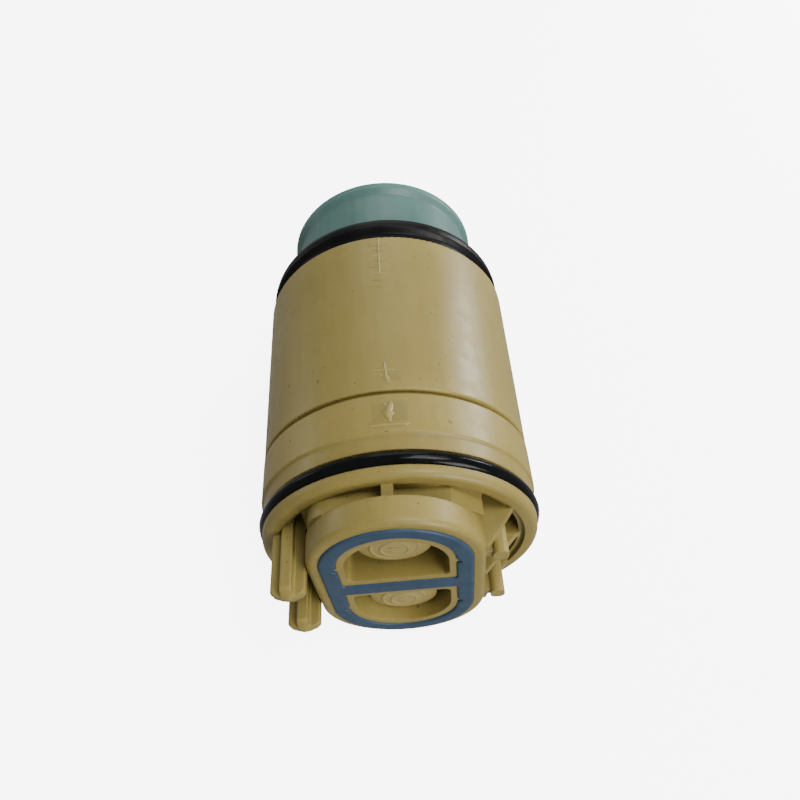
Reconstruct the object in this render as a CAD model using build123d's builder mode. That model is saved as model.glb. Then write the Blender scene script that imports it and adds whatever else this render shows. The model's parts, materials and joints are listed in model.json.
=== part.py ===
from build123d import *
import os

os.makedirs("parts", exist_ok=True)

# Diverter valve cartridge, millimetres.
# The valve axis is +Y, from the port face (y = 0, the seal's front) to the open operating end.
# The two outlet ports lie one above the other: upper at +Z, lower at -Z.

# ---- driving dimensions ----------------------------------------------------------------
shell_radius = 21.4            # outer radius of the shell at its far end
shell_near_radius = 21.1       # the moulding draws in slightly towards the base
shell_bore_radius = 19.0
flange_radius = 20.6
band_radius = 21.15
boss_half_width = 12.5
boss_half_height = 19.6
boss_flat_half_height = 16.2
boss_x = -0.5                  # the boss and its ports stand a little off the valve axis
port_centre_z = 9.15           # axis of each outlet's non-return poppet
boss_neck_corner = 4.2
boss_neck_width = 24.1
recess_radius = 18.6
pocket_radius = 17.75
rib_width = 1.6
rib_reach = 18.9
side_rib_width = 1.3
side_rib_length = 5.6
side_rib_x = 15.1
side_rib_z = 0.4
rotor_radius = 16.9
rotor_bore_radius = 14.0
rotor_lip_radius = 17.6
disc_radius = 17.4             # the two ceramic discs
disc_port_radius = 4.6
quarter_turn = 90.0
running_clearance = 0.05

# ---- stations along the axis -------------------------------------------------------------
boss_front_y = 0.35
boss_back_y = 4.4
flange_front_y = 6.5
recess_floor_y = 7.1
groove_front_y = 8.15
groove_back_y = 10.5
step_y = 12.8
pocket_floor_y = 13.5
band_back_y = 19.3
shell_front_y = 20.2
gasket_front_y = 27.6
spigot_back_y = 30.0
fixed_disc_front_y = 28.6
disc_thickness = 4.0
moving_disc_front_y = fixed_disc_front_y + disc_thickness + 0.05
rotor_front_y = moving_disc_front_y + disc_thickness + 0.05
rotor_plate_thickness = 3.0
rotor_plate_back_y = rotor_front_y + rotor_plate_thickness
washer_thickness = 0.6
shell_shoulder_y = rotor_plate_back_y + washer_thickness + 0.1
shell_end_y = 52.0
neck_end_y = 56.4
end_ring_back_y = 57.0
rotor_lip_y = 70.4
rotor_end_y = 71.9


def station(y, x=0.0, z=0.0):
    """A plane across the valve axis: local x is +X, local y is +Z, and -amount runs to +Y."""
    return Plane(origin=(x, y, z), x_dir=(1, 0, 0), z_dir=(0, -1, 0))


def axis_at(x, z):
    """The line along +Y through x and z."""
    return Axis((x, 0, z), (0, 1, 0))


def turning_plane(x=0.0, z=0.0):
    """Local x is the radius from the axis through x and z, local y is the world's +Y."""
    return Plane(origin=(x, 0, z), x_dir=(1, 0, 0), z_dir=(0, 0, 1))


def capsule(half_width, half_height):
    """An upright outline with straight sides and round ends."""
    with BuildSketch() as outline:
        centre = half_height - half_width
        with Locations((0, centre), (0, -centre)):
            Circle(half_width)
        Rectangle(2 * half_width, 2 * centre)
    return outline.sketch


def turned(points, x, z):
    """A closed profile of (radius, y) points turned about the axis through x and z."""
    with BuildPart() as solid:
        with BuildSketch(turning_plane(x, z)):
            with BuildLine():
                Polyline(*points, close=True)
            make_face()
        revolve(axis=axis_at(x, z))
    return solid.part


def torus_at(y, ring_radius, section_radius):
    """A round ring about the valve axis."""
    with BuildPart() as solid:
        with BuildSketch(turning_plane()):
            with Locations((ring_radius, y)):
                Circle(section_radius)
        revolve(axis=Axis.Y)
    return solid.part


# ---- the D-shaped outlet ports and the seal outline ---------------------------------------
port_half_width = 7.3
port_arc_centre = 7.2
port_flat_z = 2.7
seal_half_width = 10.75
seal_half_height = 18.15
seal_inner_half_width = 8.3
seal_inner_half_height = 15.85
seal_bar_half = 1.5
seal_depth = 2.1
nub_z = 7.2
nub_height = 0.6
nub_half_width = 0.6


def d_outline(side, half_width, arc_centre, flat_z, corner):
    """A D lying on its flat: the flat faces z = 0 and the arc is outermost."""
    with BuildSketch() as outline:
        with Locations((0, side * arc_centre)):
            Circle(half_width)
        with Locations((0, side * (flat_z + arc_centre) / 2)):
            Rectangle(2 * half_width, arc_centre - flat_z)
        with Locations((0, side * flat_z)):
            Rectangle(4 * half_width, 40, align=(Align.CENTER, Align.MAX if side > 0 else Align.MIN),
                      mode=Mode.SUBTRACT)
        corners = outline.vertices().sort_by(lambda v: abs(v.Y))[0:2]
        fillet(corners, corner)
    return outline.sketch


def web_outline(side):
    """The plastic web round one port, which fills one window of the seal, with its small nubs."""
    arc_centre = seal_inner_half_height - seal_inner_half_width
    root = seal_inner_half_width - 0.15
    with BuildSketch() as outline:
        add(d_outline(side, seal_inner_half_width, arc_centre, seal_bar_half, 0.5))
        for across in (1, -1):
            with BuildLine():
                Polyline((across * root, side * nub_z + nub_half_width),
                         (across * (root + nub_height), side * nub_z + 0.15),
                         (across * (root + nub_height), side * nub_z - 0.15),
                         (across * root, side * nub_z - nub_half_width), close=True)
            make_face()
    return outline.sketch


# ---- base block ------------------------------------------------------------------------
port_floor_y = 7.2
valve_bore_radius = 6.0
o_ring_floor_radius = 18.9
spigot_radius = shell_bore_radius - running_clearance
catch_front_y = 21.4
catch_back_y = 23.2
catch_width = 5.0
joint_groove_front_y = 24.6
joint_groove_back_y = 26.4
joint_groove_radius = 17.75
long_pin_x = -15.6
long_pin_z = 6.2
long_pin_span = 4.9
long_pin_wall = 1.7
long_pin_tip_y = -3.1
long_pin_arm_y = -2.4
long_pin_edge = 0.3
short_pin_x = 14.0
short_pin_z = 6.9
short_pin_front_y = 0.6
gusset_z = 8.6
gusset_wall = 1.2
gusset_front_y = 1.0

with BuildPart() as base_block:
    # flange, O-ring groove, band, shoulder and the spigot that enters the shell
    with BuildSketch(turning_plane()) as turned_profile:
        with BuildLine():
            Polyline(
                (0, flange_front_y), (flange_radius, flange_front_y),
                (flange_radius + 0.15, groove_front_y), (o_ring_floor_radius, groove_front_y),
                (o_ring_floor_radius, groove_back_y), (20.75, groove_back_y), (20.8, step_y),
                (band_radius, step_y + 0.35), (band_radius, band_back_y), (20.3, band_back_y),
                (20.3, shell_front_y), (spigot_radius, shell_front_y),
                (spigot_radius, joint_groove_front_y), (joint_groove_radius, joint_groove_front_y),
                (joint_groove_radius, joint_groove_back_y), (spigot_radius, joint_groove_back_y),
                (spigot_radius, spigot_back_y - 0.4), (spigot_radius - 0.4, spigot_back_y),
                (disc_radius + 0.1, spigot_back_y), (disc_radius + 0.1, gasket_front_y),
                (0, gasket_front_y), close=True)
        make_face()
        front_corner = turned_profile.vertices().sort_by_distance((flange_radius, flange_front_y))
        fillet(front_corner[0], 1.0)
    revolve(axis=Axis.Y)
    # shallow recess between the boss and the flange's rim
    with BuildSketch(station(flange_front_y)):
        Circle(recess_radius)
    extrude(amount=flange_front_y - recess_floor_y, mode=Mode.SUBTRACT)
    # deep pockets on both sides of the boss
    with BuildSketch(station(flange_front_y)):
        Circle(pocket_radius)
        with Locations((boss_x, 0)):
            Rectangle(2 * boss_half_width, 60, mode=Mode.SUBTRACT)
    extrude(amount=flange_front_y - pocket_floor_y, mode=Mode.SUBTRACT)
    # boss: capsule-shaped nose, and the neck behind it with its cut corners
    with BuildSketch(station(boss_front_y, x=boss_x)):
        add(capsule(boss_half_width, boss_half_height))
    extrude(amount=boss_front_y - boss_back_y)
    fillet(base_block.edges().group_by(Axis.Y)[0], 0.9)
    with BuildSketch(station(boss_back_y, x=boss_x)) as neck:
        with Locations((boss_half_width, 0)):
            Rectangle(boss_neck_width, 2 * boss_flat_half_height, align=(Align.MAX, Align.CENTER))
        chamfer(neck.vertices().sort_by(Axis.X)[2:4], boss_neck_corner)
        fillet(neck.vertices().sort_by(Axis.X)[0:2], boss_neck_corner)
    extrude(amount=boss_back_y - recess_floor_y)
    # ribs from the boss to the flange's rim at top, bottom and both sides
    with BuildSketch(station(boss_back_y, x=boss_x)):
        Rectangle(rib_width, 2 * rib_reach)
    extrude(amount=boss_back_y - recess_floor_y)
    with BuildSketch(station(flange_front_y)):
        with Locations((side_rib_x, side_rib_z), (-side_rib_x, side_rib_z)):
            Rectangle(side_rib_length, side_rib_width)
    extrude(amount=flange_front_y - pocket_floor_y)
    # theta-shaped groove for the port seal, leaving the webs round the ports
    with BuildSketch(station(boss_front_y, x=boss_x)):
        add(capsule(seal_half_width, seal_half_height))
        add(web_outline(1), mode=Mode.SUBTRACT)
        add(web_outline(-1), mode=Mode.SUBTRACT)
    extrude(amount=boss_front_y - seal_depth, mode=Mode.SUBTRACT)
    # outlet ports and the bores of the non-return valves behind them
    with BuildSketch(station(boss_front_y, x=boss_x)):
        for side in (1, -1):
            add(d_outline(side, port_half_width, port_arc_centre, port_flat_z, 0.9))
    extrude(amount=boss_front_y - port_floor_y, mode=Mode.SUBTRACT)
    with BuildSketch(station(port_floor_y, x=boss_x)):
        with Locations((0, port_centre_z), (0, -port_centre_z)):
            Circle(valve_bore_radius)
    extrude(amount=port_floor_y - gasket_front_y, mode=Mode.SUBTRACT)
    # long cross-shaped locating pins, each arm's end sloping up to a blunt point
    for pin_side in (1, -1):
        pin_plane = station(long_pin_tip_y, x=long_pin_x, z=pin_side * long_pin_z)
        with BuildSketch(pin_plane) as cross:
            Rectangle(long_pin_wall, long_pin_span)
            Rectangle(long_pin_span, long_pin_wall)
            fillet(cross.vertices(), long_pin_edge)
        extrude(amount=long_pin_tip_y - pocket_floor_y)
        with BuildSketch(turning_plane(long_pin_x, pin_side * long_pin_z)):
            with BuildLine():
                Polyline((0.3, long_pin_tip_y - 0.1), (4.0, long_pin_tip_y - 0.1),
                         (4.0, long_pin_arm_y + 2.0),
                         (long_pin_span / 2, long_pin_arm_y + 0.4), (long_pin_span / 2 - 0.4, long_pin_arm_y),
                         (0.3, long_pin_tip_y), close=True)
            make_face()
        revolve(axis=axis_at(long_pin_x, pin_side * long_pin_z), mode=Mode.SUBTRACT)
    # short locating pins, each a rounded post standing on a web
    for pin_side in (1, -1):
        with BuildSketch(station(short_pin_front_y, x=short_pin_x, z=pin_side * short_pin_z)):
            RectangleRounded(2.2, 2.6, 0.9)
        extrude(amount=short_pin_front_y - pocket_floor_y)
        with BuildSketch(station(short_pin_front_y + 0.4, x=short_pin_x, z=pin_side * short_pin_z)):
            with Locations((-1.2, 0)):
                Rectangle(2.4, 1.3)
        extrude(amount=short_pin_front_y + 0.4 - pocket_floor_y)
    # sloping gusset webs from the boss down to the rim
    for web_z, web_reach in ((gusset_z, 16.4), (-gusset_z, 16.4), (side_rib_z, 17.4)):
        web_plane = Plane(origin=(0, 0, web_z), x_dir=(1, 0, 0), z_dir=(0, 0, 1))
        web_root = boss_x + boss_half_width
        with BuildSketch(web_plane):
            with BuildLine():
                Polyline((web_root - 1.0, gusset_front_y), (web_root + 0.2, gusset_front_y),
                         (web_reach, flange_front_y),
                         (web_reach, pocket_floor_y + 0.2), (web_root - 1.0, pocket_floor_y + 0.2),
                         close=True)
            make_face()
        extrude(amount=gusset_wall / 2, both=True)
    # catches of the snap fit, one on each side, and a relief beside each
    for catch_side in (1, -1):
        catch_plane = Plane(origin=(0, 0, 0), x_dir=(1, 0, 0), z_dir=(0, 0, 1))
        with BuildSketch(catch_plane):
            with BuildLine():
                Polyline((catch_side * 18.0, catch_front_y), (catch_side * 20.4, catch_front_y),
                         (catch_side * 20.4, catch_front_y + 0.5), (catch_side * 19.2, catch_back_y),
                         (catch_side * 18.0, catch_back_y), close=True)
            make_face()
        extrude(amount=catch_width / 2, both=True)
        with BuildSketch(Plane(origin=(catch_side * 21.6, step_y + 1.1, 0), x_dir=(0, 1, 0),
                               z_dir=(catch_side, 0, 0))):
            Rectangle(band_back_y - step_y, catch_width, align=(Align.MIN, Align.CENTER))
        extrude(amount=-0.95, mode=Mode.SUBTRACT)
    # the O-ring groove is cut clean of whatever the pins and webs left in it
    with BuildSketch(turning_plane()):
        with Locations((o_ring_floor_radius, groove_front_y)):
            Rectangle(4.0, groove_back_y - groove_front_y, align=(Align.MIN, Align.MIN))
    revolve(axis=Axis.Y, mode=Mode.SUBTRACT)
    # keys that stop the fixed disc from turning
    with BuildSketch(station(gasket_front_y)):
        with Locations((disc_radius - 0.4, 0), (0.4 - disc_radius, 0)):
            Rectangle(1.4, 2.4)
    extrude(amount=gasket_front_y - spigot_back_y + 0.4)
base_block.part.label = "base_block"
export_step(base_block.part, "parts/base_block.step")

# ---- outer shell -----------------------------------------------------------------------
neck_radius = 18.7
rotor_running_radius = rotor_radius + running_clearance
stop_inner_radius = 17.5

with BuildPart() as outer_shell:
    with BuildSketch(turning_plane()) as shell_profile:
        with BuildLine():
            Polyline(
                (shell_bore_radius, shell_front_y), (shell_near_radius, shell_front_y),
                (shell_radius, shell_end_y), (neck_radius, shell_end_y), (neck_radius, neck_end_y),
                (rotor_running_radius, neck_end_y), (rotor_running_radius, shell_shoulder_y),
                (shell_bore_radius, shell_shoulder_y), close=True)
        make_face()
        rim_corner = shell_profile.vertices().sort_by_distance((shell_radius, shell_end_y))
        fillet(rim_corner[0], 0.3)
        near_corner = shell_profile.vertices().sort_by_distance((shell_near_radius, shell_front_y))
        fillet(near_corner[0], 0.25)
    revolve(axis=Axis.Y)
    # windows that the base's catches snap into
    for catch_side in (1, -1):
        with BuildSketch(Plane(origin=(catch_side * 18, catch_front_y - 0.1, 0), x_dir=(0, 1, 0),
                               z_dir=(catch_side, 0, 0))):
            Rectangle(catch_back_y - catch_front_y + 0.3, catch_width + 0.3,
                      align=(Align.MIN, Align.CENTER))
        extrude(amount=5.0, mode=Mode.SUBTRACT)
    # internal stop that limits the rotor to a quarter turn
    with BuildSketch(station(rotor_front_y + 0.3)):
        with Locations((0, shell_bore_radius - 0.4)):
            Rectangle(3.0, 1.6)
        Circle(stop_inner_radius + 0.2, mode=Mode.SUBTRACT)
        Circle(shell_bore_radius + 0.5, mode=Mode.INTERSECT)
    extrude(amount=rotor_front_y + 0.3 - shell_shoulder_y)
outer_shell.part.label = "outer_shell"
export_step(outer_shell.part, "parts/outer_shell.step")

# ---- rubber seals -----------------------------------------------------------------------
with BuildPart() as port_seal:
    with BuildSketch(station(0, x=boss_x)):
        add(capsule(seal_half_width, seal_half_height))
        add(web_outline(1), mode=Mode.SUBTRACT)
        add(web_outline(-1), mode=Mode.SUBTRACT)
    extrude(amount=-seal_depth)
    fillet(port_seal.edges().group_by(Axis.Y)[0], 0.35)
port_seal.part.label = "port_seal"
export_step(port_seal.part, "parts/port_seal.step")

base_ring_section = (groove_back_y - groove_front_y) / 2 - 0.01
with BuildPart() as base_o_ring:
    add(torus_at((groove_front_y + groove_back_y) / 2, o_ring_floor_radius + base_ring_section + 0.01,
                 base_ring_section))
base_o_ring.part.label = "base_o_ring"
export_step(base_o_ring.part, "parts/base_o_ring.step")

joint_ring_section = (shell_bore_radius - joint_groove_radius) / 2 - 0.01
with BuildPart() as shell_joint_o_ring:
    add(torus_at((joint_groove_front_y + joint_groove_back_y) / 2,
                 (shell_bore_radius + joint_groove_radius) / 2, joint_ring_section))
shell_joint_o_ring.part.label = "shell_joint_o_ring"
export_step(shell_joint_o_ring.part, "parts/shell_joint_o_ring.step")

lip_front_y = 55.0
with BuildPart() as end_seal_ring:
    with BuildSketch(turning_plane()) as lip_profile:
        with BuildLine():
            Polyline(
                (neck_radius, shell_end_y), (20.6, shell_end_y), (20.2, shell_end_y + 0.6),
                (20.2, lip_front_y - 0.6), (21.15, lip_front_y), (21.15, end_ring_back_y - 0.4),
                (20.7, end_ring_back_y), (17.9, end_ring_back_y), (17.9, neck_end_y),
                (neck_radius, neck_end_y), close=True)
        make_face()
        lip_corners = lip_profile.vertices().sort_by_distance((21.15, lip_front_y))
        fillet(lip_corners[0], 0.3)
    revolve(axis=Axis.Y)
end_seal_ring.part.label = "end_seal_ring"
export_step(end_seal_ring.part, "parts/end_seal_ring.step")

with BuildPart() as disc_gasket:
    with BuildSketch(station(gasket_front_y)):
        Circle(disc_radius - 1.4)
        with Locations((0, port_centre_z), (0, -port_centre_z)):
            Circle(5.3, mode=Mode.SUBTRACT)
    extrude(amount=gasket_front_y - fixed_disc_front_y)
disc_gasket.part.label = "disc_gasket"
export_step(disc_gasket.part, "parts/disc_gasket.step")

# ---- ceramic discs -------------------------------------------------------------------------
with BuildPart() as fixed_disc:
    with BuildSketch(station(fixed_disc_front_y)):
        Circle(disc_radius)
        with Locations((0, port_centre_z), (0, -port_centre_z)):
            Circle(disc_port_radius, mode=Mode.SUBTRACT)
        with Locations((disc_radius, 0), (-disc_radius, 0)):
            Rectangle(2.6, 2.6, mode=Mode.SUBTRACT)
    extrude(amount=-disc_thickness)
fixed_disc.part.label = "fixed_disc"
export_step(fixed_disc.part, "parts/fixed_disc.step")

drive_slot_depth = 2.4
moving_disc_radius = disc_radius - 0.4

with BuildPart() as moving_disc:
    # one opening stands over the upper port, the other over a blank part of the fixed disc
    with BuildSketch(station(moving_disc_front_y)):
        Circle(moving_disc_radius)
        with Locations((0, port_centre_z), (port_centre_z, 0)):
            Circle(disc_port_radius, mode=Mode.SUBTRACT)
        with Locations((-moving_disc_radius, 0), (0, -moving_disc_radius)):
            Rectangle(2 * drive_slot_depth, 2 * drive_slot_depth, mode=Mode.SUBTRACT)
    extrude(amount=-disc_thickness)
moving_disc.part.label = "moving_disc"
export_step(moving_disc.part, "parts/moving_disc.step")

# ---- rotor cup ---------------------------------------------------------------------------
rotor_plate_radius = 18.8
ring_groove_width = 2.4
ring_groove_depth = 1.5
rotor_groove_ys = (44.5, 49.5)
spline_end_y = 50.0
spline_bore_radius = 13.2

with BuildPart() as rotor_cup:
    with BuildSketch(turning_plane()) as cup_profile:
        with BuildLine():
            Polyline(
                (0, rotor_front_y), (rotor_plate_radius, rotor_front_y),
                (rotor_plate_radius, rotor_plate_back_y), (rotor_radius, rotor_plate_back_y),
                (rotor_radius, rotor_lip_y - 1.2), (rotor_lip_radius, rotor_lip_y),
                (rotor_lip_radius, rotor_end_y), (rotor_bore_radius, rotor_end_y),
                (rotor_bore_radius, spline_end_y), (spline_bore_radius, spline_end_y),
                (spline_bore_radius, rotor_plate_back_y), (0, rotor_plate_back_y), close=True)
        make_face()
        outer_lip = cup_profile.vertices().sort_by_distance((rotor_lip_radius, rotor_end_y))
        fillet(outer_lip[0], 0.5)
        inner_lip = cup_profile.vertices().sort_by_distance((rotor_bore_radius, rotor_end_y))
        fillet(inner_lip[0], 0.5)
    revolve(axis=Axis.Y)
    # grooves for the two rotor O-rings
    for groove_y in rotor_groove_ys:
        with BuildSketch(turning_plane()):
            with Locations((rotor_radius, groove_y)):
                Rectangle(2 * ring_groove_depth, ring_groove_width)
        revolve(axis=Axis.Y, mode=Mode.SUBTRACT)
    # openings through the plate, in line with the moving disc's
    with BuildSketch(station(rotor_front_y)):
        with Locations((0, port_centre_z), (port_centre_z, 0)):
            Circle(disc_port_radius)
    extrude(amount=-rotor_plate_thickness, mode=Mode.SUBTRACT)
    # a quarter-turn slot in the plate's edge for the shell's stop
    with BuildSketch(station(rotor_front_y)):
        with BuildLine():
            slot_start = 90 - 6
            slot_sweep = quarter_turn + 12
            slot_outer = CenterArc((0, 0), 20.0, slot_start, slot_sweep)
            slot_inner = CenterArc((0, 0), stop_inner_radius, slot_start, slot_sweep)
            Line(slot_outer @ 0, slot_inner @ 0)
            Line(slot_outer @ 1, slot_inner @ 1)
        make_face()
    extrude(amount=-rotor_plate_thickness, mode=Mode.SUBTRACT)
    # lugs that drive the moving disc
    with BuildSketch(station(rotor_front_y - 2.5)):
        with Locations((-moving_disc_radius + drive_slot_depth / 2, 0),
                       (0, -moving_disc_radius + drive_slot_depth / 2)):
            Rectangle(drive_slot_depth - 0.3, drive_slot_depth - 0.3)
    extrude(amount=-2.5)
    # four splines inside the cup for the operating spindle
    with BuildSketch(station(rotor_plate_back_y)):
        with PolarLocations(spline_bore_radius, 4, start_angle=45):
            Rectangle(1.8, 2.0)
        Circle(rotor_radius - ring_groove_depth, mode=Mode.INTERSECT)
    extrude(amount=rotor_plate_back_y - spline_end_y)
rotor_cup.part.label = "rotor_cup"
export_step(rotor_cup.part, "parts/rotor_cup.step")

rotor_ring_section = (rotor_running_radius - rotor_radius + ring_groove_depth) / 2 - 0.02
rotor_ring_names = ("rotor_o_ring_inner", "rotor_o_ring_outer")
for ring_name, groove_y in zip(rotor_ring_names, rotor_groove_ys):
    with BuildPart() as rotor_o_ring:
        add(torus_at(groove_y, rotor_running_radius - 0.02 - rotor_ring_section, rotor_ring_section))
    rotor_o_ring.part.label = ring_name
    export_step(rotor_o_ring.part, f"parts/{ring_name}.step")

with BuildPart() as thrust_washer:
    with BuildSketch(station(shell_shoulder_y - washer_thickness)):
        Circle(18.6)
        Circle(rotor_running_radius + 0.1, mode=Mode.SUBTRACT)
        with Locations((0, 18.8)):
            Rectangle(3.6, 2.6, mode=Mode.SUBTRACT)
    extrude(amount=-washer_thickness)
thrust_washer.part.label = "thrust_washer"
export_step(thrust_washer.part, "parts/thrust_washer.step")

# ---- non-return valves, one behind each outlet port --------------------------------------
poppet_radius = 5.25
dome_front_y = 1.75
dome_rim_y = 2.65
poppet_back_y = 5.5
seat_front_y = 6.6
seat_back_y = 10.0
seat_hole_radius = 4.2
guide_back_y = 13.0
stem_radius = 1.2
hub_radius = 2.1
hub_back_y = 16.0
keeper_front_y = 20.6
keeper_back_y = 22.0
spring_wire_radius = 0.35
spring_mean_radius = 2.85
spring_turns = 5
dome_rise = dome_rim_y - dome_front_y
dome_radius = (poppet_radius ** 2 + dome_rise ** 2) / (2 * dome_rise)
ring_mark_radii = (2.0, 3.5)


def dome_y(radius):
    """Where the poppet's domed front lies at a given radius."""
    return dome_front_y + dome_radius - (dome_radius ** 2 - radius ** 2) ** 0.5


for place, port_z in (("upper", port_centre_z), ("lower", -port_centre_z)):
    port_axis = axis_at(boss_x, port_z)
    # poppet: domed head with two ring grooves, rim and stem
    with BuildPart() as poppet:
        with BuildSketch(turning_plane(boss_x, port_z)) as head_profile:
            with BuildLine():
                dome = ThreePointArc((0, dome_front_y), (2.65, dome_y(2.65)),
                                     (poppet_radius, dome_rim_y))
                Polyline(dome @ 1, (poppet_radius, poppet_back_y), (stem_radius, poppet_back_y),
                         (stem_radius, keeper_back_y), (0, keeper_back_y), dome @ 0)
            make_face()
            rim_point = (boss_x + poppet_radius, dome_rim_y, port_z)
            fillet(head_profile.vertices().sort_by_distance(rim_point)[0], 0.3)
            for mark_radius in ring_mark_radii:
                with Locations((mark_radius, dome_y(mark_radius))):
                    Circle(0.22, mode=Mode.SUBTRACT)
        revolve(axis=port_axis)
    poppet.part.label = f"poppet_{place}"
    export_step(poppet.part, f"parts/poppet_{place}.step")

    # rubber ring under the head
    with BuildPart() as poppet_seal:
        add(turned([(stem_radius, poppet_back_y), (5.0, poppet_back_y), (5.0, seat_front_y - 0.3),
                    (4.7, seat_front_y), (3.6, seat_front_y), (3.3, seat_front_y - 0.5),
                    (stem_radius, seat_front_y - 0.5)], boss_x, port_z))
    poppet_seal.part.label = f"poppet_seal_{place}"
    export_step(poppet_seal.part, f"parts/poppet_seal_{place}.step")

    # seat pressed into the bore, its nose standing in the port
    with BuildPart() as valve_seat:
        add(turned([(seat_hole_radius, seat_front_y), (5.4, seat_front_y), (5.4, port_floor_y),
                    (valve_bore_radius, port_floor_y), (valve_bore_radius, seat_back_y),
                    (seat_hole_radius, seat_back_y)], boss_x, port_z))
    valve_seat.part.label = f"valve_seat_{place}"
    export_step(valve_seat.part, f"parts/valve_seat_{place}.step")

    # guide: rim, three spokes and a hub for the stem
    with BuildPart() as poppet_guide:
        with BuildSketch(station(seat_back_y, x=boss_x, z=port_z)):
            Circle(valve_bore_radius)
            Circle(4.7, mode=Mode.SUBTRACT)
            with PolarLocations(3.4, 3, start_angle=90):
                Rectangle(3.4, 1.3)
            Circle(hub_radius)
            Circle(stem_radius + running_clearance, mode=Mode.SUBTRACT)
        extrude(amount=seat_back_y - guide_back_y)
        with BuildSketch(station(guide_back_y, x=boss_x, z=port_z)):
            Circle(hub_radius)
            Circle(stem_radius + running_clearance, mode=Mode.SUBTRACT)
        extrude(amount=guide_back_y - hub_back_y)
        with BuildSketch(station(guide_back_y - 0.8, x=boss_x, z=port_z)):
            Circle(3.5)
            Circle(stem_radius + running_clearance, mode=Mode.SUBTRACT)
        extrude(amount=-0.8)
    poppet_guide.part.label = f"poppet_guide_{place}"
    export_step(poppet_guide.part, f"parts/poppet_guide_{place}.step")

    # keeper on the end of the stem
    with BuildPart() as spring_keeper:
        add(turned([(stem_radius, keeper_front_y), (3.6, keeper_front_y), (3.6, keeper_back_y - 0.4),
                    (3.2, keeper_back_y), (stem_radius, keeper_back_y)],
                   boss_x, port_z))
    spring_keeper.part.label = f"spring_keeper_{place}"
    export_step(spring_keeper.part, f"parts/spring_keeper_{place}.step")

    # compression spring between the guide and the keeper
    spring_front_y = guide_back_y + spring_wire_radius + 0.02
    spring_length = keeper_front_y - spring_wire_radius - 0.02 - spring_front_y
    with BuildPart() as poppet_spring:
        with BuildLine() as coil:
            Helix(spring_length / spring_turns, spring_length, spring_mean_radius,
                  center=(boss_x, spring_front_y, port_z), direction=(0, 1, 0))
        with BuildSketch(Plane(origin=coil.line @ 0, z_dir=coil.line % 0)):
            Circle(spring_wire_radius)
        sweep(path=coil.line)
    poppet_spring.part.label = f"poppet_spring_{place}"
    export_step(poppet_spring.part, f"parts/poppet_spring_{place}.step")
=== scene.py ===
import json
import math
import random

import bmesh
import bpy
from mathutils import Matrix, Vector
from mathutils.geometry import tessellate_polygon


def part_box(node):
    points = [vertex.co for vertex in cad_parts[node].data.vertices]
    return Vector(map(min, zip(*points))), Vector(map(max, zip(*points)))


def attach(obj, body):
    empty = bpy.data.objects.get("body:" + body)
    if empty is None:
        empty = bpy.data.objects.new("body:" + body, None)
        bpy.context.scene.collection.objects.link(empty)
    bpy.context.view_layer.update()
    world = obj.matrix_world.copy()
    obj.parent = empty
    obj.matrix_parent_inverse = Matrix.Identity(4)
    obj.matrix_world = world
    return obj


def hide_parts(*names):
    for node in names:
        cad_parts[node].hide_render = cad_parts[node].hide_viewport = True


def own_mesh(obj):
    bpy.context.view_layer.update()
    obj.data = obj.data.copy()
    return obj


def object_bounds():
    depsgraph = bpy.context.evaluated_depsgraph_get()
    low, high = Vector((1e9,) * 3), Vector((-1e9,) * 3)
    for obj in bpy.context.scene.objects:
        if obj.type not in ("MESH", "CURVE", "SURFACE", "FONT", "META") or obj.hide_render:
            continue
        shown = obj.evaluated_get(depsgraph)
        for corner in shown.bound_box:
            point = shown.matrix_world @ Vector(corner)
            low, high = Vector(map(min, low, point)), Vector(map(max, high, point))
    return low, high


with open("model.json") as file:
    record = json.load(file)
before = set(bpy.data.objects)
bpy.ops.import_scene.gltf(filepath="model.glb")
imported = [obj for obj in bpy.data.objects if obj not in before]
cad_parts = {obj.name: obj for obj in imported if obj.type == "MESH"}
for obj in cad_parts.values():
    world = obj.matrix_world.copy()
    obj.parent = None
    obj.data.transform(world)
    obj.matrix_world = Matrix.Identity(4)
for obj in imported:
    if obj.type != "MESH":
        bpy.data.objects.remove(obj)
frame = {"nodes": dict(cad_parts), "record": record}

CAD_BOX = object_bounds()
MM = 0.001
TURN = 2 * math.pi
random.seed(7)

# ---- camera, floor and light -------------------------------------------------------------
CAMERA_PLACE = Vector((4.66, -39.58, 97.93)) * MM
CAMERA_AIM = Vector((1.36, 34.02, 0.0)) * MM
CAMERA_ROLL = math.radians(7.25)
FOCAL_LENGTH = 31.62
FLOOR_GLOW = 6.0                # the floor is a lit white sweep
FLOOR_HALF = 3.0                # metres
WORLD_GLOW = 0.44
WHITE = (1.0, 1.0, 1.0)
# each light: name, place in metres, side in metres, watts, colour
LIGHTS = (
    ("key", (0.20, -0.04, 0.42), 0.22, 2.05, WHITE),
    ("front", (0.30, -0.34, 0.14), 0.20, 2.4, (1.0, 0.97, 0.93)),
    ("back", (0.02, 0.45, 0.28), 0.30, 0.45, WHITE),
    ("left_strip", (-0.30, 0.16, 0.10), 0.10, 0.12, WHITE),
    ("right_strip", (0.27, 0.22, 0.08), 0.10, 0.9, WHITE),
)


def aim(thing, target, roll=0.0):
    """Turns a camera or light to look at a point, then rolls it about its own view."""
    look = (target - thing.location).to_track_quat("-Z", "Y")
    thing.rotation_mode = "QUATERNION"
    thing.rotation_quaternion = look @ Matrix.Rotation(roll, 4, "Z").to_quaternion()


def add_camera():
    data = bpy.data.cameras.new("camera")
    camera = bpy.data.objects.new("camera", data)
    bpy.context.scene.collection.objects.link(camera)
    camera.location = CAMERA_PLACE
    data.lens = FOCAL_LENGTH
    data.clip_start = 1 * MM
    data.clip_end = 5.0
    aim(camera, CAMERA_AIM, -CAMERA_ROLL)
    bpy.context.scene.camera = camera


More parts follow.
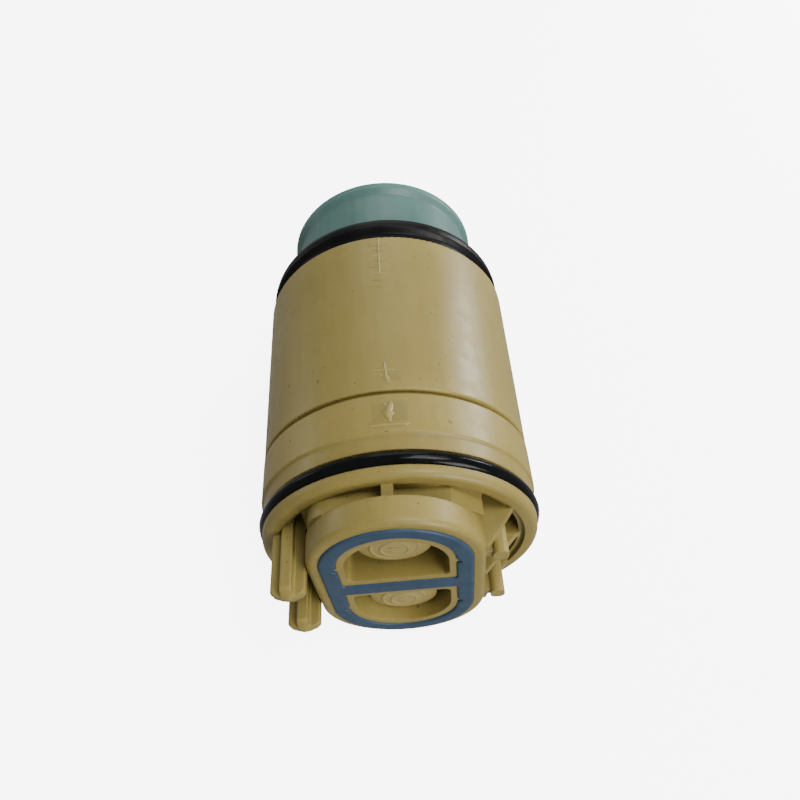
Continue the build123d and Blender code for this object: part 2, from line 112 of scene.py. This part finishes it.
def add_light(name, place, target, size, watts, colour):
    """A square soft light that looks at the target."""
    data = bpy.data.lights.new(name, "AREA")
    data.energy = watts
    data.size = size
    data.color = colour
    light = bpy.data.objects.new(name, data)
    bpy.context.scene.collection.objects.link(light)
    light.location = Vector(place)
    aim(light, Vector(target))


def add_stage():
    """The pale glowing floor, which neither lights nor mirrors in the object, the world and the lights."""
    floor_z = CAD_BOX[0].z
    mesh = bpy.data.meshes.new("floor")
    corners = [(x * FLOOR_HALF, y * FLOOR_HALF, floor_z) for x, y in ((-1, -1), (1, -1), (1, 1), (-1, 1))]
    mesh.from_pydata(corners, [], [(0, 1, 2, 3)])
    floor = bpy.data.objects.new("floor", mesh)
    bpy.context.scene.collection.objects.link(floor)
    paint = bpy.data.materials.new("floor_paint")
    paint.use_nodes = True
    shader = paint.node_tree.nodes["Principled BSDF"]
    shader.inputs["Base Color"].default_value = (0.93, 0.93, 0.93, 1)
    shader.inputs["Roughness"].default_value = 0.75
    shader.inputs["Emission Color"].default_value = (1, 1, 1, 1)
    shader.inputs["Emission Strength"].default_value = FLOOR_GLOW
    mesh.materials.append(paint)
    floor.visible_glossy = False
    floor.visible_diffuse = False
    world = bpy.data.worlds.new("studio")
    world.use_nodes = True
    world.node_tree.nodes["Background"].inputs["Color"].default_value = (1, 1, 1, 1)
    world.node_tree.nodes["Background"].inputs["Strength"].default_value = WORLD_GLOW
    bpy.context.scene.world = world
    middle = (CAD_BOX[0] + CAD_BOX[1]) / 2
    for name, place, size, watts, colour in LIGHTS:
        add_light(name, place, middle, size, watts, colour)


# ---- materials ------------------------------------------------------------------------------
class Paint:
    """A small helper that wires a Principled material from named nodes."""

    def __init__(self, name, roughness, specular=0.16):
        self.material = bpy.data.materials.new(name)
        self.material.use_nodes = True
        self.tree = self.material.node_tree
        self.shader = self.tree.nodes["Principled BSDF"]
        self.shader.inputs["Roughness"].default_value = roughness
        self.shader.inputs["Specular IOR Level"].default_value = specular
        self.place = self.node("ShaderNodeTexCoord").outputs["Object"]
        self.height = None

    def node(self, kind, **settings):
        made = self.tree.nodes.new(kind)
        for key, value in settings.items():
            setattr(made, key, value)
        return made

    def link(self, source, target):
        self.tree.links.new(source, target)

    def noise(self, scale, detail=3.0, rough=0.5, stretch=(1, 1, 1)):
        """Noise with features of about 1/scale metres, stretched along the axes."""
        mapping = self.node("ShaderNodeMapping")
        mapping.inputs["Scale"].default_value = stretch
        self.link(self.place, mapping.inputs["Vector"])
        texture = self.node("ShaderNodeTexNoise")
        texture.inputs["Scale"].default_value = scale
        texture.inputs["Detail"].default_value = detail
        texture.inputs["Roughness"].default_value = rough
        self.link(mapping.outputs["Vector"], texture.inputs["Vector"])
        return texture.outputs["Fac"]

    def ramp(self, value, low, high, colour_low, colour_high):
        ramp = self.node("ShaderNodeValToRGB")
        ramp.color_ramp.elements[0].position = low
        ramp.color_ramp.elements[1].position = high
        ramp.color_ramp.elements[0].color = (*colour_low, 1)
        ramp.color_ramp.elements[1].color = (*colour_high, 1)
        self.link(value, ramp.inputs["Fac"])
        return ramp.outputs["Color"]

    def spread(self, value, low, high):
        """Maps noise's middle range to low..high."""
        span = self.node("ShaderNodeMapRange")
        span.inputs["From Min"].default_value = 0.3
        span.inputs["From Max"].default_value = 0.7
        span.inputs["To Min"].default_value = low
        span.inputs["To Max"].default_value = high
        self.link(value, span.inputs["Value"])
        return span.outputs["Result"]

    def mix(self, blend, factor, first, second):
        node = self.node("ShaderNodeMix", data_type="RGBA", blend_type=blend)
        if isinstance(factor, float):
            node.inputs["Factor"].default_value = factor
        else:
            self.link(factor, node.inputs["Factor"])
        self.link(first, node.inputs["A"])
        self.link(second, node.inputs["B"])
        return node.outputs["Result"]

    def add_bump(self, value, strength, distance):
        """Stacks one more layer of relief on the surface."""
        bump = self.node("ShaderNodeBump")
        bump.inputs["Strength"].default_value = strength
        bump.inputs["Distance"].default_value = distance
        self.link(value, bump.inputs["Height"])
        if self.height is not None:
            self.link(self.height, bump.inputs["Normal"])
        self.height = bump.outputs["Normal"]
        self.link(self.height, self.shader.inputs["Normal"])

    def round_edges(self, radius):
        bevel = self.node("ShaderNodeBevel", samples=6)
        bevel.inputs["Radius"].default_value = radius
        self.height = bevel.outputs["Normal"]
        self.link(self.height, self.shader.inputs["Normal"])


def moulded(name, dark, light, roughness, edge_radius=0.0, speck=None, subsurface=0.0, specular=0.16):
    """Injection-moulded plastic: cloudy colour, flow lines, a fine satin grain and sharp edges painted paler
    as a painted highlight.
    """
    paint = Paint(name, roughness, specular)
    if edge_radius:
        paint.round_edges(edge_radius)
    cloud = paint.ramp(paint.noise(70, 4, 0.5), 0.3, 0.7, dark, light)
    streaks = paint.noise(700, 2, 0.5, (1, 0.12, 1))
    flow = paint.ramp(streaks, 0.35, 0.65, (0.965, 0.965, 0.96), (1.02, 1.02, 1.02))
    colour = paint.mix("MULTIPLY", 1.0, cloud, flow)
    grain = paint.ramp(paint.noise(5200, 2, 0.7), 0.35, 0.65, (0.95, 0.95, 0.94), (1.03, 1.03, 1.03))
    colour = paint.mix("MULTIPLY", 1.0, colour, grain)
    # sharp convex edges are painted paler: a painted highlight where the edges catch the light
    edge = paint.node("ShaderNodeNewGeometry").outputs["Pointiness"]
    painted_edge_highlight = paint.ramp(edge, 0.50, 0.58, (1, 1, 1), (1.20, 1.19, 1.15))
    colour = paint.mix("MULTIPLY", 1.0, colour, painted_edge_highlight)
    if speck:
        spots = paint.ramp(paint.noise(1100, 1, 0.3), 0.765, 0.785, (1, 1, 1), speck)
        colour = paint.mix("MULTIPLY", 1.0, colour, spots)
    paint.link(colour, paint.shader.inputs["Base Color"])
    paint.link(paint.spread(paint.noise(420, 3), roughness - 0.05, roughness + 0.07),
               paint.shader.inputs["Roughness"])
    paint.add_bump(paint.noise(6500, 2, 0.6), 0.10, 0.00004)
    paint.add_bump(paint.noise(260, 2, 0.5, (1, 0.3, 1)), 0.10, 0.0004)
    if subsurface:
        paint.shader.inputs["Subsurface Weight"].default_value = subsurface
        paint.shader.inputs["Subsurface Radius"].default_value = (1.0, 0.7, 0.4)
        paint.shader.inputs["Subsurface Scale"].default_value = 0.0012
    return paint.material


def rubber(name, dark, light, roughness, specular=0.16):
    """Moulded rubber: near-even colour, soft waviness, a trace of grease and fine dust."""
    paint = Paint(name, roughness, specular)
    colour = paint.ramp(paint.noise(240, 4, 0.6), 0.35, 0.7, dark, light)
    dust = paint.ramp(paint.noise(4200, 2, 0.6), 0.68, 0.74, (1, 1, 1), (1.35, 1.35, 1.35))
    paint.link(paint.mix("MULTIPLY", 1.0, colour, dust), paint.shader.inputs["Base Color"])
    paint.link(paint.spread(paint.noise(700, 3), roughness - 0.06, roughness + 0.08),
               paint.shader.inputs["Roughness"])
    paint.add_bump(paint.noise(5200, 2, 0.55), 0.12, 0.00004)
    paint.add_bump(paint.noise(320, 2, 0.5), 0.15, 0.0004)
    return paint.material


def ceramic(name):
    """Lapped alumina: off-white, glassy, with faint circular lapping marks."""
    paint = Paint(name, 0.12)
    colour = paint.ramp(paint.noise(600, 4, 0.6), 0.3, 0.7, (0.78, 0.76, 0.70), (0.88, 0.87, 0.83))
    paint.link(colour, paint.shader.inputs["Base Color"])
    rings = paint.node("ShaderNodeTexWave", wave_type="RINGS", rings_direction="Y")
    rings.inputs["Scale"].default_value = 900
    rings.inputs["Distortion"].default_value = 2.0
    paint.link(paint.place, rings.inputs["Vector"])
    paint.add_bump(rings.outputs["Fac"], 0.04, 0.00002)
    return paint.material


def steel(name):
    """Drawn spring wire: bright, with drawing lines and a little tarnish."""
    paint = Paint(name, 0.28)
    paint.shader.inputs["Metallic"].default_value = 1.0
    colour = paint.ramp(paint.noise(900, 4, 0.6), 0.3, 0.75, (0.52, 0.51, 0.49), (0.72, 0.71, 0.69))
    paint.link(colour, paint.shader.inputs["Base Color"])
    paint.link(paint.spread(paint.noise(2400, 3), 0.2, 0.4), paint.shader.inputs["Roughness"])
    paint.add_bump(paint.noise(5000, 2, 0.5, (1, 0.2, 1)), 0.12, 0.00003)
    return paint.material


def make_materials():
    """Every finish; each pair of colours is the darker and the lighter tone of its clouding."""
    glow = 0.12                 # light that the beige plastic lets through
    sheen = 0.26
    return {
        "beige_plastic": moulded(
            "beige_plastic", (0.196, 0.154, 0.041), (0.218, 0.173, 0.050), 0.38, edge_radius=0.00028,
            speck=(0.66, 0.60, 0.50), subsurface=glow, specular=sheen),
        # the poppets' beige is the body's beige painted lighter: painted light from the front
        "beige_poppet_painted_light": moulded(
            "beige_poppet_painted_light", (0.285, 0.226, 0.074), (0.310, 0.248, 0.086), 0.34,
            subsurface=glow, specular=sheen),
        # the raised marks' beige is painted paler than the body's: a painted highlight on their crests
        "beige_marks_painted_highlight": moulded(
            "beige_marks_painted_highlight", (0.200, 0.158, 0.048), (0.240, 0.194, 0.066), 0.32, subsurface=glow, specular=0.3),
        "beige_patch": moulded(
            "beige_patch", (0.186, 0.148, 0.044), (0.206, 0.165, 0.052), 0.36,
            subsurface=glow, specular=sheen),
        "blue_rubber": rubber(
            "blue_rubber", (0.022, 0.046, 0.078), (0.028, 0.055, 0.094), 0.42, specular=0.20),
        "black_rubber": rubber(
            "black_rubber", (0.0015, 0.0018, 0.002), (0.003, 0.0034, 0.0036), 0.16, specular=0.10),
        "dark_lip": rubber("dark_lip", (0.003, 0.003, 0.0035), (0.006, 0.006, 0.0065), 0.36, specular=0.10),
        "grey_rubber": rubber("grey_rubber", (0.05, 0.05, 0.052), (0.08, 0.08, 0.08), 0.5),
        "ceramic": ceramic("ceramic"),
        "teal_plastic": moulded(
            "teal_plastic", (0.056, 0.116, 0.106), (0.070, 0.138, 0.126), 0.36, edge_radius=0.00018,
            subsurface=0.15, specular=sheen),
        # the lip's teal is the cup's teal painted paler: a painted highlight on the bead
        "teal_lip_painted_highlight": moulded(
            "teal_lip_painted_highlight", (0.066, 0.152, 0.134), (0.084, 0.180, 0.160), 0.42, subsurface=0.15, specular=0.12),
        "white_plastic": moulded(
            "white_plastic", (0.66, 0.66, 0.62), (0.76, 0.76, 0.72), 0.38, edge_radius=0.00018),
        "spring_steel": steel("spring_steel"),
    }


# ---- mesh helpers -----------------------------------------------------------------------------
def new_piece(name, vertices, faces, material, body, smooth_angle=35):
    """A mesh object that rides on a body, smooth but for edges sharper than smooth_angle degrees."""
    mesh = bpy.data.meshes.new(name)
    mesh.from_pydata(vertices, [], faces)
    bm = bmesh.new()
    bm.from_mesh(mesh)
    bmesh.ops.remove_doubles(bm, verts=bm.verts, dist=1e-7)
    bmesh.ops.recalc_face_normals(bm, faces=bm.faces)
    bm.to_mesh(mesh)
    bm.free()
    mesh.shade_smooth()
    mesh.set_sharp_from_angle(angle=math.radians(smooth_angle))
    mesh.materials.append(material)
    piece = bpy.data.objects.new(name, mesh)
    bpy.context.scene.collection.objects.link(piece)
    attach(piece, body)
    return piece


def rounded_profile(corners, steps=6):
    """A closed (radius, y) outline in millimetres; each corner is (radius, y, rounding)."""
    outline = []
    count = len(corners)
    for i, (x, y, rounding) in enumerate(corners):
        here = Vector((x, y))
        before = Vector(corners[i - 1][:2]) - here
        after = Vector(corners[(i + 1) % count][:2]) - here
        if rounding <= 0:
            outline.append(here)
            continue
        half = before.angle(after) / 2
        reach = min(rounding / math.tan(half), 0.48 * before.length, 0.48 * after.length)
        start = here + before.normalized() * reach
        end = here + after.normalized() * reach
        for s in range(steps + 1):
            t = s / steps
            outline.append((1 - t) ** 2 * start + 2 * t * (1 - t) * here + t * t * end)
    return outline


def lathe(name, outline, material, body, z=0.0, x=0.0, segments=192, shape=None):
    """Turns a closed outline of (radius, y) in millimetres about the line along +Y through x and z."""
    vertices, faces = [], []
    count = len(outline)
    for k in range(segments):
        angle = TURN * k / segments
        for radius, y in outline:
            if shape:
                radius, y = shape(radius, y, angle)
            vertices.append(Vector((x + radius * math.cos(angle), y, z + radius * math.sin(angle))) * MM)
    for k in range(segments):
        following = (k + 1) % segments
        for i in range(count):
            j = (i + 1) % count
            faces.append((k * count + i, k * count + j, following * count + j, following * count + i))
    return new_piece(name, vertices, faces, material, body)


# ---- rubber rings ------------------------------------------------------------------------------
def o_ring(node, material, body, wave):
    """A round-section ring, a little wavy, with the thin mould line that such rings carry."""
    low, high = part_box(node)
    section = (high.y - low.y) / 2 / MM
    ring = (high.x - low.x) / 2 / MM - section
    middle = (high.y + low.y) / 2 / MM
    flash_height = 0.03
    flash_width = 0.06
    steps = 64
    outline = []
    for i in range(steps):
        angle = TURN * i / steps
        flash = flash_height * math.exp(-((math.sin(angle) / flash_width) ** 2))
        across = ring + (section + flash) * math.cos(angle)
        outline.append(Vector((across, middle + section * math.sin(angle))))

    def shape(radius, y, angle):
        return radius, y + wave * math.sin(3 * angle + 0.6)

    piece = lathe(node + "_ring", outline, material, body, segments=256, shape=shape)
    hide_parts(node)


def cup_lip(material):
    """The bead that runs round the cup's mouth, painted a paler teal than the cup as a painted highlight."""
    outline = rounded_profile([
        (17.0, 69.75, 0.1), (17.62, 70.45, 0.5), (17.68, 71.75, 0.35), (17.2, 71.96, 0.3), (15.0, 71.96, 0.4),
        (15.0, 71.6, 0), (17.0, 71.2, 0)])
    lathe("rotor_cup_lip", outline, material, "rotor", segments=256)


def end_ring(material):
    """The black end seal: a flat land, then an undercut lip that is soft at its edges."""
    outline = rounded_profile([
        (18.72, 52.0, 0), (20.5, 52.0, 0.3), (20.15, 52.9, 0.3), (20.15, 54.3, 0.5), (21.1, 54.9, 0.35),
        (21.15, 55.9, 0.25), (20.95, 56.95, 0.5), (17.95, 57.0, 0.3), (17.95, 56.42, 0), (18.72, 56.42, 0)])
    piece = lathe("end_seal_ring_lip", outline, material, "cartridge_body", segments=256)
    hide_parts("end_seal_ring")


# ---- port seal -----------------------------------------------------------------------------------
BOSS_X = -0.5
SEAL_HALF_WIDTH = 10.75
SEAL_HALF_HEIGHT = 18.15
WINDOW_HALF_WIDTH = 8.3
WINDOW_HALF_HEIGHT = 15.85
SEAL_BAR_HALF = 1.5
SEAL_DEPTH = 2.1
NUB_Z = 7.2
NUB_HEIGHT = 0.6


def run(start, end, count):
    """Evenly spaced points from start up to, but without, end."""
    return [(start[0] + (end[0] - start[0]) * i / count, start[1] + (end[1] - start[1]) * i / count)
            for i in range(count)]


def arc(centre, radius, start, end, count):
    """Points on an arc between two angles in degrees, without the last one."""
    points = []
    for i in range(count):
        angle = math.radians(start + (end - start) * i / count)
        points.append((centre[0] + radius * math.cos(angle), centre[1] + radius * math.sin(angle)))
    return points


def seal_outside(inset):
    """The seal's outer outline, moved inwards by inset."""
    radius = SEAL_HALF_WIDTH - inset
    centre = SEAL_HALF_HEIGHT - SEAL_HALF_WIDTH
    return (arc((0, centre), radius, 0, 180, 120) + run((-radius, centre), (-radius, -centre), 30)
            + arc((0, -centre), radius, 180, 360, 120) + run((radius, -centre), (radius, centre), 30))


def nub(z):
    """How far a nub on the port's web stands out at height z."""
    reach = abs(z - NUB_Z)
    return NUB_HEIGHT * max(0.0, min(1.0, (0.62 - reach) / 0.45))


def seal_window(side, growth):
    """The outline of one window in the seal, moved into the rubber by growth."""
    radius = WINDOW_HALF_WIDTH + growth
    centre = WINDOW_HALF_HEIGHT - WINDOW_HALF_WIDTH
    corner = 0.5 + growth
    flat = SEAL_BAR_HALF - growth
    points = arc((0, centre), radius, 0, 180, 160)
    points += run((-radius, centre), (-radius, flat + corner), 60)
    points += arc((-radius + corner, flat + corner), corner, 180, 270, 8)
    points += run((-radius + corner, flat), (radius - corner, flat), 40)
    points += arc((radius - corner, flat + corner), corner, 270, 360, 8)
    points += run((radius, flat + corner), (radius, centre), 60)
    shaped = []
    for x, z in points:
        if abs(x) > 0.6 * radius:
            x += math.copysign(nub(z), x)
        shaped.append((x, side * z))
    return shaped


def port_seal(material):
    """The theta-shaped seal: one flat band with rounded shoulders round two windows."""
    shoulder = [(0.0, SEAL_DEPTH), (0.0, 0.42)]
    for i in range(1, 8):
        angle = math.radians(90 * i / 7)
        shoulder.append((0.42 * (1 - math.cos(angle)), 0.42 * (1 - math.sin(angle))))
    shoulder.append((0.62, -0.015))
    shoulder.append((0.70, -0.015))
    vertices, faces, rims = [], [], []

    def skirt(outline_at):
        loops = []
        for inset, y in shoulder:
            loop = []
            for x, z in outline_at(inset):
                loop.append(len(vertices))
                vertices.append(Vector((BOSS_X + x, y, z)) * MM)
            loops.append(loop)
        for first, second in zip(loops, loops[1:]):
            for i in range(len(first)):
                j = (i + 1) % len(first)
                faces.append((first[i], first[j], second[j], second[i]))
        rims.append((loops[0], loops[-1]))

    skirt(seal_outside)
    skirt(lambda growth: seal_window(1, growth))
    skirt(lambda growth: seal_window(-1, growth))
    for level in (0, 1):
        loops = [rim[level] for rim in rims]
        flat = [[Vector((vertices[i].x, vertices[i].z, 0)) for i in loop] for loop in loops]
        index = [i for loop in loops for i in loop]
        for triangle in tessellate_polygon(flat):
            faces.append(tuple(index[i] for i in triangle))
    piece = new_piece("port_seal_theta", vertices, faces, material, "cartridge_body", 50)
    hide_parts("port_seal")


# ---- non-return valves ------------------------------------------------------------------------
PORT_Z = 9.15


def poppet(place, z, material):
    """A moulded poppet: domed head with two ring ridges, a soft rim, a flat back and its stem."""
    rise, reach = 0.9, 5.25
    dome_front, dome_edge, dome_steps = 1.75, 4.95, 89
    rim_front, head_back = 2.62, 5.5
    stem_radius, stem_end = 1.2, 22.0
    ring_ridges = ((1.95, 0.14, 0.16), (3.35, 0.16, 0.20))      # each: radius, height, width
    bar_size, bar_offset, bar_front, bar_edge = (1.5, 0.14, 0.26), 0.42, 1.72, 0.06
    dome_radius = (reach ** 2 + rise ** 2) / (2 * rise)
    corners = []
    for i in range(dome_steps + 1):
        radius = dome_edge * i / dome_steps
        y = dome_front + dome_radius - math.sqrt(dome_radius ** 2 - radius ** 2)
        for ridge_radius, height, width in ring_ridges:
            y -= height * math.exp(-(((radius - ridge_radius) / width) ** 2))
        corners.append((radius, y, 0))
    corners += [(reach, rim_front, 0.25), (reach, head_back, 0.2), (stem_radius, head_back, 0),
                (stem_radius, stem_end, 0.1), (0, stem_end, 0)]
    piece = lathe(f"poppet_{place}_moulding", rounded_profile(corners), material, f"valve_{place}",
                  z=z, x=BOSS_X, segments=160)
    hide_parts(f"poppet_{place}")
    # a generic raised mark of two bars inside the inner ring
    for bar, offset in enumerate((bar_offset, -bar_offset)):
        block(f"poppet_{place}_mark_{bar}", (BOSS_X, bar_front, z + offset), bar_size, bar_edge, material,
              f"valve_{place}")


def block(name, centre, size, edge, material, body):
    """A small box with rounded edges."""
    bm = bmesh.new()
    bmesh.ops.create_cube(bm, size=1.0)
    bmesh.ops.scale(bm, vec=Vector(size) * MM, verts=bm.verts)
    bmesh.ops.bevel(bm, geom=bm.edges[:], offset=edge * MM, segments=3, profile=0.5, affect="EDGES")
    bmesh.ops.translate(bm, vec=Vector(centre) * MM, verts=bm.verts)
    vertices = [v.co.copy() for v in bm.verts]
    faces = [tuple(v.index for v in face.verts) for face in bm.faces]
    bm.free()
    new_piece(name, vertices, faces, material, body)


def spring(place, z, material):
    """A compression coil with ground, closed ends."""
    front, back, turns = 13.37, 20.23, 5.0
    wire, mean = 0.35, 2.85     # the wire's radius and the coil's mean radius
    dead_turns = 0.75           # flat turns at each end
    steps, around = 360, 12
    vertices, faces = [], []
    for i in range(steps + 1):
        t = i / steps
        angle = TURN * turns * t
        closed = max(0.0, min(1.0, (t * turns - dead_turns) / (turns - 2 * dead_turns)))
        centre = Vector((mean * math.cos(angle), front + (back - front) * closed, mean * math.sin(angle)))
        outward = Vector((math.cos(angle), 0, math.sin(angle)))
        for k in range(around):
            turn = TURN * k / around
            offset = outward * math.cos(turn) * wire + Vector((0, math.sin(turn) * wire, 0))
            vertices.append((centre + offset + Vector((BOSS_X, 0, z))) * MM)
    for i in range(steps):
        here, onward = i * around, (i + 1) * around
        for k in range(around):
            j = (k + 1) % around
            faces.append((here + k, here + j, onward + j, onward + k))
    faces.append(tuple(range(around)))
    faces.append(tuple(steps * around + k for k in range(around)))
    piece = new_piece(f"poppet_{place}_coil", vertices, faces, material, "cartridge_body", 60)
    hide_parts(f"poppet_spring_{place}")
    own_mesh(piece)


# ---- moulding marks on the shell and the band ---------------------------------------------------
BAND_END = 19.3
BAND_RADIUS = 21.15
SHELL_START = 20.2
SHELL_LENGTH = 31.8
SHELL_RADIUS = 21.1
SHELL_DRAFT = 0.3               # how much wider the shell is at its far end
SUNK = 0.03                     # how far a mark's skirt goes under the surface


def shell_radius(y):
    """The radius of the moulding's outside at station y."""
    if y < BAND_END:
        return BAND_RADIUS
    return SHELL_RADIUS + SHELL_DRAFT * (y - SHELL_START) / SHELL_LENGTH


def ridge(name, points, width, height, material, uneven=0.0):
    """A thin rounded ridge along points (x, y, scale) over the moulding's top; uneven roughens it."""
    profile = [(-0.5, -0.05), (-0.3, 0.55), (0.0, 1.0), (0.3, 0.55), (0.5, -0.05)]
    vertices, faces = [], []
    for i, (x, y, scale) in enumerate(points):
        before = points[max(i - 1, 0)]
        after = points[min(i + 1, len(points) - 1)]
        along = Vector((after[0] - before[0], after[1] - before[1])).normalized()
        side = Vector((-along.y, along.x))
        for across, up in profile:
            torn = 1 + random.uniform(-uneven, uneven)
            px = x + side.x * across * width * scale * torn
            py = y + side.y * across * width * scale * torn
            radius = shell_radius(y) + (up * height * scale * torn if up > 0 else -SUNK)
            angle = px / radius
            vertices.append(Vector((radius * math.sin(angle), py, radius * math.cos(angle))) * MM)
    count = len(profile)
    for i in range(len(points) - 1):
        here, onward = i * count, (i + 1) * count
        for k in range(count):
            j = (k + 1) % count
            faces.append((here + k, here + j, onward + j, onward + k))
    faces.append(tuple(range(count)))
    faces.append(tuple((len(points) - 1) * count + k for k in range(count)))
    new_piece(name, vertices, faces, material, "cartridge_body", 60)


def line(x0, y0, x1, y1, count=24, taper=0.25, wander=0.0):
    """Points of a slightly wandering line whose ends taper away."""
    points = []
    for i in range(count + 1):
        t = i / count
        scale = min(1.0, (min(t, 1 - t) + 0.02) / taper)
        drift = random.uniform(-wander, wander)
        points.append((x0 + (x1 - x0) * t + drift, y0 + (y1 - y0) * t + drift * 0.3, scale))
    return points


def pad(name, low, high, height, material):
    """A thin patch on the moulding between two corners (x, y), with soft edges."""
    steps = 16
    vertices, faces = [], []
    for i in range(steps + 1):
        for j in range(steps + 1):
            x = low[0] + (high[0] - low[0]) * i / steps
            y = low[1] + (high[1] - low[1]) * j / steps
            lift = -0.02 if i in (0, steps) or j in (0, steps) else height
            radius = shell_radius(y) + lift
            vertices.append(Vector((radius * math.sin(x / radius), y, radius * math.cos(x / radius))) * MM)
    for i in range(steps):
        for j in range(steps):
            a = i * (steps + 1) + j
            faces.append((a, a + 1, a + steps + 2, a + steps + 1))
    new_piece(name, vertices, faces, material, "cartridge_body", 80)


def moulding_marks(plain, material, patch):
    """Parting line, cooling wrinkles, gate scars and the band's pad, along the top of the mouldings.

    Places are (x, y) in millimetres, with x measured round the surface from its highest line.
    """
    # material is the marks' paler finish, painted paler as a painted highlight on the ridges
    ridge("shell_parting_line", line(0.35, 51.9, 0.22, 43.4, 40, 0.06, 0.01), 0.20, 0.10, material)
    for i, y in enumerate((50.9, 49.8, 48.6, 47.5, 46.2, 44.8, 43.4, 41.8, 40.4)):
        left = -random.uniform(0.6, 1.8)
        right = random.uniform(0.5, 2.2)
        tone = material if i % 3 == 0 else plain
        ridge(f"shell_wrinkle_{i}", line(left, y + 0.15, right, y - 0.1, 16, 0.4, 0.03), 0.34, 0.035, tone)
    pad("shell_gate_patch", (-0.4, 21.6), (2.6, 23.5), 0.004, patch)
    ridge("shell_gate_line", line(-2.9, 23.95, 2.4, 23.6, 24, 0.3, 0.03), 0.30, 0.11, material, 0.15)
    ridge("shell_gate_stroke", line(0.10, 25.6, 0.46, 21.4, 28, 0.25, 0.03), 0.32, 0.10, material)
    scar = [(0.15, 22.9, 0.3), (0.35, 22.5, 0.9), (0.52, 22.1, 1.2), (0.62, 21.7, 0.8), (0.66, 21.3, 0.3)]
    ridge("shell_gate_scar", scar, 0.70, 0.10, material, 0.25)
    fleck = [(-0.55, 22.9, 0.4), (-0.35, 22.75, 1.0), (-0.15, 22.7, 0.5)]
    ridge("shell_gate_fleck", fleck, 0.4, 0.08, material)
    pad("band_pad_left", (-1.9, 14.7), (-0.2, 18.1), 0.006, plain)
    pad("band_pad_right", (0.0, 14.7), (3.2, 18.3), 0.008, patch)
    ridge("band_parting_line", line(-2.6, 14.25, 3.2, 14.25, 30, 0.12), 0.45, 0.20, material)
    gate = [(0.72, 18.0, 0.25), (0.74, 17.6, 0.7), (0.62, 17.1, 1.0), (0.42, 16.6, 1.3), (0.28, 16.1, 1.45),
            (0.30, 15.6, 1.05), (0.42, 15.1, 0.6), (0.50, 14.6, 0.3)]
    ridge("band_gate_chip", gate, 1.15, 0.26, material, 0.30)
    flake = [(-0.3, 18.0, 0.4), (0.0, 17.6, 1.0), (0.1, 17.2, 0.7)]
    ridge("band_gate_flake", flake, 0.5, 0.13, material, 0.3)


def carry_over(paints):
    """Gives every CAD node its finish."""
    slot_of = {row["node"]: row["material_slot"] for row in frame["record"]["subparts"]}
    for node, thing in frame["nodes"].items():
        for holder in thing.material_slots:
            holder.material = paints[slot_of[node]]


# ---- making -----------------------------------------------------------------------------------
add_camera()
add_stage()
paints = make_materials()
carry_over(paints)
o_ring("base_o_ring", paints["black_rubber"], "cartridge_body", 0.02)
end_ring(paints["dark_lip"])
cup_lip(paints["teal_lip_painted_highlight"])
port_seal(paints["blue_rubber"])
for place, height in (("upper", PORT_Z), ("lower", -PORT_Z)):
    poppet(place, height, paints["beige_poppet_painted_light"])
    spring(place, height, paints["spring_steel"])
moulding_marks(paints["beige_plastic"], paints["beige_marks_painted_highlight"], paints["beige_patch"])
